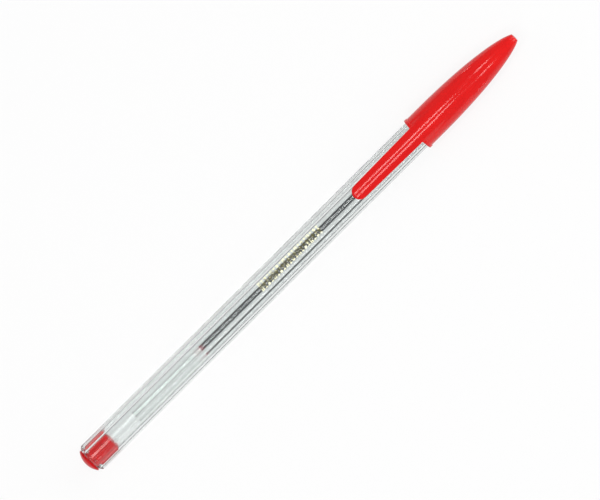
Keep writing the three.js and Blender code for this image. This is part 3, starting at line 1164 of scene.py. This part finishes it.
@dataclass
class Cap:
    """The red cap and its pocket clip, one moulding."""

    cover: float = 10.3 * MM
    gap: float = 0.06 * MM
    wall: float = 0.41 * MM
    lip_height: float = 0.2 * MM
    lip_length: float = 0.9 * MM
    lip_round: float = 0.15 * MM
    lip_foot: float = 0.06 * MM
    mouth_chamfer: float = 0.12 * MM
    straight_steps: int = 8
    ogive_start: float = 4.7 * MM
    ogive_start_pull: float = 16.5 * MM
    ogive_end_pull: float = 3.1 * MM
    ogive_end_slope: float = math.radians(27.5)
    ogive_steps: int = 56
    end_face_radius: float = 1.05 * MM
    end_edge_height: float = 0.2 * MM
    end_edge_length: float = 0.4 * MM
    end_round_length: float = 0.06 * MM
    end_round_height: float = 0.05 * MM
    end_face_inset: float = 0.02 * MM
    seat_relief: float = 0.3 * MM
    nose_room_radius: float = 2.8 * MM
    nose_room_length: float = 9.0 * MM
    end_room_radius: float = 1.35 * MM
    end_wall: float = 4.0 * MM
    vent_radius: float = 0.6 * MM
    grips: int = 6
    grip_width: float = 0.8 * MM
    grip_length: float = 2.4 * MM
    grip_sink: float = 0.1 * MM
    ridge_height: float = 0.28 * MM
    ridge_length: float = 22.0 * MM
    ridge_half_width: float = 3.0 * MM
    ridge_crown_radius: float = 4.7 * MM
    ridge_softness: float = 0.12 * MM
    least_wall: float = 0.25 * MM
    clip_turn: float = math.radians(7.7)
    clip_root_length: float = 8.0 * MM
    clip_root_sink: float = 0.05 * MM
    clip_root_slope: float = 1.3
    clip_reach: float = 1.6 * MM
    clip_sink: float = 0.004 * MM
    clip_sink_slope: float = 0.03
    clip_gap: float = 0.2 * MM
    clip_thickness: float = 0.7 * MM
    clip_tip_width: float = 3.96 * MM
    clip_root_width: float = 4.64 * MM
    clip_tip_length: float = 2.0 * MM
    clip_tip_drop: float = 0.4 * MM
    clip_crown_rise: float = 0.52 * MM
    clip_edge: float = 0.22 * MM
    clip_steps: tuple[int, int, int] = (14, 40, 4)
    section_steps: int = 14
    section_edge_steps: int = 5
    section_middle: float = 0.02 * MM
    nub_from_tip: float = 3.0 * MM
    nub_length: float = 3.6 * MM
    nub_height: float = 0.12 * MM
    round_sides: int = 192
    smooth_angle: float = 32.0
    finish: MouldedPlastic = MouldedPlastic(
        "red_polypropylene_cap", (0.7, 0.008, 0.007), (0.66, 0.006, 0.006), 0.12, 0.34,
    )

    def fit(self, barrel: Barrel) -> None:
        """Work out the cap's places and radii from the barrel that it fits.

        Args:
            barrel: the barrel.
        """
        low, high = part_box("cap")
        self.tip = low.x
        self.end = high.x
        self.mouth = barrel.end - self.cover
        self.bore = barrel.corner_radius + self.gap
        self.body = self.bore + self.wall
        self.lip = self.body + self.lip_height
        self.ridge_crest = self.body + self.ridge_height
        self.ridge_depth = self.ridge_half_width ** 2 / self.ridge_crown_radius
        self.under = barrel.corner_radius + self.clip_gap
        self.crest = self.under + self.clip_thickness
        reach = self.clip_root_width / 2.0 - self.clip_edge
        self.crown = (reach ** 2 + self.clip_crown_rise ** 2) / 2.0 / self.clip_crown_rise

    def build(self, barrel: Barrel) -> bpy.types.Object:
        """Model the cap.

        Args:
            barrel: the barrel that the cap fits.

        Returns:
            The cap.
        """
        self.fit(barrel)
        self.room = self.inside(barrel)
        cap = lathe("cap_moulded", self.outside() + self.room, self.round_sides, closed=True)
        self.raise_ridge(cap)
        combine(cap, Join.ADD, self.clip(), thorough=True)
        combine(cap, Join.ADD, self.grip_ring(barrel))
        clean_mesh(cap, COARSE_MERGE)
        turn_about_axis(cap, self.clip_turn)
        smooth(cap, self.smooth_angle)
        dress(cap, self.finish.material(), Slot.CAP, Body.CAP, "cap")
        return cap

    def outside(self) -> Profile:
        """The cap's outer profile, from its mouth to the vent in its end."""
        lip_centre = self.lip - self.lip_round
        start = (self.mouth + self.ogive_start, self.body)
        end = (self.end - self.end_edge_length, self.end_face_radius + self.end_edge_height)
        pulls = (
            (start[0] + self.ogive_start_pull, start[1]),
            (
                end[0] - self.ogive_end_pull * math.cos(self.ogive_end_slope),
                end[1] + self.ogive_end_pull * math.sin(self.ogive_end_slope),
            ),
        )
        straight_start = self.mouth + self.lip_length + self.lip_foot
        straight = [
            (lerp(straight_start, start[0], i / self.straight_steps), self.body)
            for i in range(self.straight_steps)
        ]
        return [
            (self.mouth, self.bore + self.mouth_chamfer),
            *arc((self.mouth + self.lip_round, lip_centre), self.lip_round, 180.0, 90.0, 4),
            *arc(
                (self.mouth + self.lip_length - self.lip_round, lip_centre),
                self.lip_round, 90.0, 0.0, 4,
            ),
            *straight,
            *bezier(start, *pulls, end, self.ogive_steps),
            (self.end - self.end_round_length, self.end_face_radius + self.end_round_height),
            (self.end, self.end_face_radius - self.end_face_inset),
            (self.end, self.vent_radius),
        ]

    def inside(self, barrel: Barrel) -> Profile:
        """The cap's inner profile, from the vent back to the mouth."""
        room_end = self.end - self.end_wall
        return [
            (room_end, self.vent_radius),
            (room_end, self.end_room_radius),
            (barrel.end + self.nose_room_length, self.nose_room_radius),
            (barrel.end + self.seat_relief, barrel.nose_face_radius + self.seat_relief),
            (barrel.nose_start + self.seat_relief, self.bore),
            (self.mouth + self.mouth_chamfer, self.bore),
        ]

    def grip_ring(self, barrel: Barrel) -> bpy.types.Object:
        """The short ribs inside the cap that grip the barrel's nose.

        Args:
            barrel: the barrel whose nose cone they follow.

        Returns:
            The ribs as one piece, which reach into the cap's wall.
        """
        start = barrel.end - self.grip_length
        end = barrel.end + self.seat_relief
        height = self.bore / 2.0
        deselect_all()
        bpy.ops.mesh.primitive_cube_add(
            size=1.0, scale=(end - start, self.grip_width, height),
            location=((start + end) / 2.0, 0.0, AXIS_Z + self.bore - height / 2.0),
        )
        ring = ring_of(finish_primitive("grip"), self.grips)
        combine(ring, Join.KEEP, lathe("grip_envelope", [
            (start, barrel.nose_radius(start) + self.gap),
            (end, barrel.nose_radius(end) + self.gap),
            (end, self.inner_radius_at(end) + self.grip_sink),
            (start, self.inner_radius_at(start) + self.grip_sink),
        ], self.round_sides, closed=True))
        return ring

    def tip_share(self, x: float) -> float:
        """How far a place lies into the clip's rounded tip, from 0 to 1."""
        return max(0.0, (self.tip + self.clip_tip_length - x) / self.clip_tip_length)

    def ridge_height_at(self, x: float, across: float = 0.0) -> float:
        """The swelling's height above the axis."""
        along = min(1.0, abs(x - self.mouth) / self.ridge_length)
        room = 1.0 - along ** 2 - (across / self.ridge_half_width) ** 2
        base = self.ridge_crest - self.ridge_depth
        return base + self.ridge_depth * math.sqrt(max(0.0, room))

    def crest_at(self, x: float) -> float:
        """The height of the clip's crest above the axis."""
        dip = self.clip_tip_drop * (1.0 - math.sqrt(max(0.0, 1.0 - self.tip_share(x) ** 2)))
        root_end = self.mouth + self.clip_root_length
        root = min(1.0, max(0.0, x - self.mouth) / self.clip_root_length)
        return lerp(self.crest - dip, self.ridge_height_at(root_end) - self.clip_root_sink, root)

    def half_width_at(self, x: float) -> float:
        """Half of the clip's width."""
        along = min(1.0, (x - self.tip) / (self.mouth - self.tip))
        half = lerp(self.clip_tip_width, self.clip_root_width, along) / 2.0
        return half * math.sqrt(max(0.0, 1.0 - self.tip_share(x) ** 2))

    def crown_at(self, x: float, across: float) -> float:
        """The height of the clip's crown above the axis."""
        return self.crest_at(x) - self.crown + math.sqrt(self.crown ** 2 - across ** 2)

    def root_at(self, x: float, across: float) -> float:
        """The height of the clip's root, which slopes down at its sides."""
        half = self.half_width_at(x) - self.clip_edge
        beyond = max(0.0, abs(across) - half)
        return self.crown_at(x, min(abs(across), half)) - self.clip_root_slope * beyond

    def raise_ridge(self, cap: bpy.types.Object) -> None:
        """Raise the swelling and the clip's root out of the cap's round outside.

        Args:
            cap: the round cap.
        """
        ridge_end = self.mouth + self.ridge_length
        root_end = self.mouth + self.clip_root_length
        moves: dict[int, float] = {}
        for vertex in cap.data.vertices:
            x, across, height = vertex.co.x, vertex.co.y, vertex.co.z - AXIS_Z
            outside = math.hypot(across, height) > self.inner_radius_at(x) + self.least_wall
            if not outside or height < 0.0 or x > ridge_end or abs(across) > self.ridge_half_width:
                continue
            raised = soft_max(height, self.ridge_height_at(x, across), self.ridge_softness)
            if x <= root_end:
                raised = soft_max(raised, self.root_at(x, across), self.ridge_softness)
            moves[vertex.index] = raised - height
        displace_up(cap, moves)

    def inner_radius_at(self, x: float) -> float:
        """The radius of the room inside the cap at a place along the pen."""
        for (front, front_radius), (rear, rear_radius) in zip(self.room, self.room[1:]):
            if rear <= x < front:
                return lerp(rear_radius, front_radius, (x - rear) / (front - rear))
        return self.bore + self.mouth_chamfer

    def clip(self) -> bpy.types.Object:
        """The pocket clip, lofted through sections from its tip to inside the cap's wall."""
        tip_steps, straight_steps, reach_steps = self.clip_steps
        tip_end = self.tip + self.clip_tip_length
        reach_end = self.mouth + self.clip_reach
        stations = [
            self.tip + self.clip_tip_length * (1.0 - math.cos(i / tip_steps * math.pi / 2.0))
            for i in range(1, tip_steps + 1)
        ]
        for start, end, steps in (
            (tip_end, self.mouth, straight_steps), (self.mouth, reach_end, reach_steps),
        ):
            stations += [lerp(start, end, i / steps) for i in range(1, steps + 1)]
        return loft("clip", [(x, self.clip_section(x)) for x in stations])

    def clip_section(self, x: float) -> list[Point]:
        """A section across the clip, as points (across, height) round it.

        Args:
            x: the place along the pen.

        Returns:
            The points, from the middle of the crown round to it again.
        """
        sink = self.clip_sink + self.clip_sink_slope * max(0.0, x - self.mouth)
        half = self.half_width_at(x)
        nub_share = min(1.0, abs(x - self.tip - self.nub_from_tip) / (self.nub_length / 2.0))
        under = self.under - self.nub_height * (1.0 - nub_share ** 2) ** 1.5
        edge = min(self.clip_edge, half / 3.0)
        shoulder = half - edge
        places = [shoulder * i / self.section_steps for i in range(self.section_steps + 1)]
        top = [(across, self.crown_at(x, across) - sink) for across in places]
        bottom = [(across, math.sqrt(under ** 2 - across ** 2)) for across in reversed(places)]
        drop = top[-1][1] - bottom[0][1]
        upper = min(edge, drop * 0.5)
        lower = min(edge * 0.8, drop - upper - self.section_middle)
        steps = self.section_edge_steps
        turns = [math.pi / 2.0 * i / steps for i in range(steps)]
        side = [
            *(
                (shoulder + edge * math.cos(turn), top[-1][1] - upper + upper * math.sin(turn))
                for turn in reversed(turns)
            ),
            *(
                (shoulder + edge * math.cos(turn), bottom[0][1] + lower - lower * math.sin(turn))
                for turn in turns
            ),
        ]
        right = [*top, *side, *bottom]
        left = [(-across, height) for across, height in reversed(right[1:-1])]
        return [*right, *left]


@dataclass
class FoilMarks:
    """A generic stamped strip of bars, lozenges and dots on the barrel's upper flat."""

    start: float = -13.2 * MM
    end: float = 8.0 * MM
    height: float = 2.5 * MM
    thickness: float = 0.012 * MM
    lift: float = 0.003 * MM
    pitch: float = 1.06 * MM
    bar_width: float = 0.28 * MM
    bar_shift: float = 0.24 * MM
    lozenge_size: Point = (1.0 * MM, 1.5 * MM)
    small_lozenge_size: Point = (0.7 * MM, 0.5 * MM)
    small_lozenge_shift: float = 1.0 * MM
    dot_diameter: float = 0.72 * MM
    dot_shift: float = 0.84 * MM
    dot_sides: int = 16
    # The foil's dark colour is a painted reflection of shade.
    finish: HotFoil = HotFoil("pale_gold_foil", (0.74, 0.73, 0.5), (0.07, 0.065, 0.025))

    def build(self, barrel: Barrel) -> bpy.types.Object:
        """Model the marks.

        Args:
            barrel: the barrel that carries them.

        Returns:
            All the marks as one piece.
        """
        surface = AXIS_Z + barrel.flats / 2.0 + self.lift
        bars, lozenges, dots = self.bars(), self.lozenges(), self.dots()
        order = (bars, lozenges, dots, lozenges)
        marks = []
        for i in range(round((self.end - self.start) / self.pitch)):
            mark = copy_of(order[i % len(order)])
            mark.location = (self.start + (i + 0.5) * self.pitch, 0.0, surface)
            marks.append(mark)
        for pattern in (bars, lozenges, dots):
            bpy.data.objects.remove(pattern, do_unlink=True)
        strip = join_all(marks)
        bpy.ops.object.transform_apply(location=True)
        strip.name = "foil_marks"
        with editing(strip):
            bpy.ops.mesh.select_all(action="SELECT")
            bpy.ops.mesh.extrude_region_move(
                TRANSFORM_OT_translate={"value": (0.0, 0.0, self.thickness)},
            )
            bpy.ops.mesh.select_all(action="SELECT")
            bpy.ops.mesh.normals_make_consistent(inside=False)
        dress(strip, self.finish.material(), Slot.POINT, Body.PEN)
        return strip

    def shape(self, y: float, size: Point, corners: int) -> bpy.types.Object:
        """A flat mark with a number of corners, across the pen at y."""
        deselect_all()
        bpy.ops.mesh.primitive_circle_add(
            vertices=corners, radius=0.5, fill_type="NGON", location=(0.0, y, 0.0),
        )
        bpy.context.object.scale = (*size, 1.0)
        return finish_primitive("mark")

    def bars(self) -> bpy.types.Object:
        """Two upright bars."""
        marks = []
        for x in (-self.bar_shift, self.bar_shift):
            deselect_all()
            bpy.ops.mesh.primitive_plane_add(size=1.0, location=(x, 0.0, 0.0))
            bpy.context.object.scale = (self.bar_width, self.height, 1.0)
            marks.append(finish_primitive("mark"))
        return join_all(marks)

    def lozenges(self) -> bpy.types.Object:
        """One lozenge between two small ones."""
        return join_all([
            self.shape(0.0, self.lozenge_size, 4),
            self.shape(self.small_lozenge_shift, self.small_lozenge_size, 4),
            self.shape(-self.small_lozenge_shift, self.small_lozenge_size, 4),
        ])

    def dots(self) -> bpy.types.Object:
        """A column of three dots."""
        size = (self.dot_diameter, self.dot_diameter)
        return join_all([
            self.shape(y, size, self.dot_sides) for y in (-self.dot_shift, 0.0, self.dot_shift)
        ])


# The studio


def place_object(data: bpy.types.ID, axes: Sequence[Vector], place: Vector) -> bpy.types.Object:
    """Put a camera or a light in the scene.

    Args:
        data: the camera's or light's data.
        axes: where its own X, Y and Z point.
        place: its place.

    Returns:
        The object, which has the name of its data.
    """
    item = bpy.data.objects.new(data.name, data)
    bpy.context.collection.objects.link(item)
    turned = Matrix(axes).transposed().to_4x4()
    turned.translation = place
    item.matrix_world = turned
    return item


@dataclass(frozen=True)
class SoftLight:
    """A rectangular soft light, placed by its direction from the cap, in degrees.

    Its brightness is how it looks in a mirror, where 1 is white.
    """

    name: str
    along: float
    across: float
    length: float
    width: float
    brightness: float
    distance: float = 0.7
    watts_per_area: float = 4.0

    def side(self, angle: float) -> float:
        """The length of a side that spans an angle, in metres."""
        return 2.0 * self.distance * math.tan(math.radians(angle / 2.0))

    def power(self) -> float:
        """The light's power in watts."""
        area = self.side(self.length) * self.side(self.width)
        return self.watts_per_area * self.brightness * area


@dataclass
class Studio:
    """Floor, surroundings, lamps and camera."""

    along_tilt: float = math.radians(5.5)
    across_tilt: float = math.radians(7.7)
    image_turn: float = math.radians(44.86)
    distance: float = 2.468
    lens: float = 600.0
    sensor: float = 36.0
    sight: float = 20.0
    aim_along: float = 0.27 * MM
    aim_across: float = 0.146 * MM
    floor_size: float = 12.0
    floor_gap: float = 0.01 * MM
    floor_lit_share: float = 0.15
    floor_tones: tuple[float, float] = (0.8, 0.82)
    floor_grain: PerMillimetre = (0.3, 0.3, 0.3)
    horizon: float = 0.42
    zenith: float = 0.34
    zenith_height: float = 0.8
    lit_share: float = 0.25
    lights: tuple[SoftLight, ...] = (
        SoftLight("strip_left", -13.0, -10.5, 32.2, 7.2, 7.6),
        SoftLight("strip_right", -13.0, 12.6, 32.2, 8.2, 7.0),
        SoftLight("front_left", 12.0, -24.0, 5.2, 9.0, 7.0),
        SoftLight("front_right", 12.0, 22.5, 5.2, 9.0, 7.0),
        SoftLight("fill_front_left", 60.0, -40.0, 36.0, 36.0, 2.0),
        SoftLight("fill_front_right", 60.0, 40.0, 36.0, 36.0, 2.0),
        SoftLight("fill_rear_left", -48.0, -48.0, 32.0, 32.0, 0.8),
        SoftLight("fill_rear_right", -48.0, 48.0, 32.0, 32.0, 0.8),
    )

    def to_camera(self) -> Vector:
        """The direction from the pen to the camera."""
        return self.direction(self.along_tilt, 0.0)

    def direction(self, along: float, across: float) -> Vector:
        """A direction from the pen.

        Args:
            along: its lean towards the end of the cap, in radians.
            across: its turn about the pen's axis from the camera's side, in radians.

        Returns:
            The unit vector.
        """
        turn = self.across_tilt + across
        flat = math.cos(along)
        return Vector((math.sin(along), -flat * math.sin(turn), flat * math.cos(turn)))

    def build(self, barrel: Barrel, cap: Cap) -> None:
        """Set the whole studio up.

        Args:
            barrel: the barrel, whose rear end rests on the floor.
            cap: the cap, whose lip rests on the floor.
        """
        bpy.context.scene.view_settings.view_transform = "Standard"
        self.camera()
        self.floor(barrel, cap)
        self.surroundings()
        for light in self.lights:
            self.lamp(light)

    def camera(self) -> None:
        """The camera, which looks down on the pen with the pen's axis slanting up to the right."""
        view = self.to_camera()
        axis = (Vector((1.0, 0.0, 0.0)) - view * view.x).normalized()
        side = view.cross(axis)
        target = AXIS + axis * self.aim_along + side * self.aim_across
        right = axis * math.cos(self.image_turn) - side * math.sin(self.image_turn)
        up = view.cross(right)
        data = bpy.data.cameras.new("camera")
        data.lens = self.lens
        data.sensor_width = self.sensor
        data.clip_end = self.sight
        bpy.context.scene.camera = place_object(
            data, (right, up, view), target + view * self.distance,
        )

    def floor(self, barrel: Barrel, cap: Cap) -> None:
        """The floor, which touches the cap's lip and the barrel's rear end."""
        rear_height = AXIS_Z - barrel.flats / 2.0
        run = cap.mouth - barrel.start
        lean = math.atan2(rear_height, run)
        deselect_all()
        bpy.ops.mesh.primitive_plane_add(size=self.floor_size)
        floor = bpy.context.object
        floor.name = "floor"
        pivot = Vector((cap.mouth + cap.lip_length / 2.0, 0.0, -self.floor_gap))
        turn = Matrix.Rotation(lean, 4, "Y")
        floor.matrix_world = Matrix.Translation(pivot) @ turn
        floor.data.materials.append(self.floor_material())

    def floor_material(self) -> bpy.types.Material:
        """White for the camera, in reflections and through clear plastic, with a soft shadow."""
        sheet = NodeSheet("white_floor")
        sheet.shader.inputs["Roughness"].default_value = 0.9
        sheet.shader.inputs["Specular IOR Level"].default_value = 0.0
        sheet.colour(sheet.ramp(
            sheet.noise(self.floor_grain),
            [(place, (tone, tone, tone)) for place, tone in enumerate(self.floor_tones)],
        ))
        glow = sheet.add("ShaderNodeEmission")
        glow.inputs["Strength"].default_value = 1.0
        path = sheet.add("ShaderNodeLightPath")
        seen = path.outputs["Is Camera Ray"]
        for ray in ("Is Glossy Ray", "Is Transmission Ray"):
            seen = sheet.calculate("MAXIMUM", seen, path.outputs[ray])
        mix = sheet.add("ShaderNodeMixShader")
        sheet.join(
            sheet.calculate("MULTIPLY", seen, 1.0 - self.floor_lit_share), mix.inputs["Fac"],
        )
        sheet.join(sheet.shader.outputs["BSDF"], mix.inputs[1])
        sheet.join(glow.outputs["Emission"], mix.inputs[2])
        sheet.join(mix.outputs["Shader"], sheet.output.inputs["Surface"])
        return sheet.material

    def surroundings(self) -> None:
        """A grey world, which is a little brighter at the horizon than above."""
        world = bpy.data.worlds.new("studio")
        bpy.context.scene.world = world
        world.use_nodes = True
        nodes, links = world.node_tree.nodes, world.node_tree.links
        background = nodes["Background"]
        place = nodes.new("ShaderNodeTexCoord")
        split = nodes.new("ShaderNodeSeparateXYZ")
        ramp = nodes.new("ShaderNodeValToRGB")
        stops = ((0.0, self.horizon), (self.zenith_height, self.zenith))
        for element, (height, tone) in zip(ramp.color_ramp.elements, stops):
            element.position = height
            element.color = (tone, tone, tone, 1.0)
        links.new(place.outputs["Generated"], split.inputs["Vector"])
        links.new(split.outputs["Z"], ramp.inputs["Fac"])
        links.new(ramp.outputs["Color"], background.inputs["Color"])

    def lamp(self, light: SoftLight) -> None:
        """Place one soft light, with its length along the pen and facing it.

        Args:
            light: the light.
        """
        toward = self.direction(math.radians(light.along), math.radians(light.across))
        target = Vector((PEN_MIDDLE + self.lit_share * PEN_LENGTH, 0.0, AXIS_Z))
        data = bpy.data.lights.new(light.name, "AREA")
        data.shape = "RECTANGLE"
        data.size = light.side(light.length)
        data.size_y = light.side(light.width)
        data.energy = light.power()
        x_axis = (Vector((1.0, 0.0, 0.0)) - toward * toward.x).normalized()
        axes = (x_axis, toward.cross(x_axis), toward)
        place_object(data, axes, target + toward * light.distance)


def main() -> None:
    """Build the pen and the studio, and report each piece."""
    logging.basicConfig(level=logging.INFO, format="%(name)s: %(message)s")
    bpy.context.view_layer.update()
    barrel = Barrel()
    plug = EndPlug(bore_radius=barrel.bore_radius)
    cap = Cap()
    barrel.build(plug)
    plug.build()
    Refill().build(barrel)
    cap.build(barrel)
    FoilMarks().build(barrel)
    Studio().build(barrel, cap)


if __name__ == "__main__":
    main()
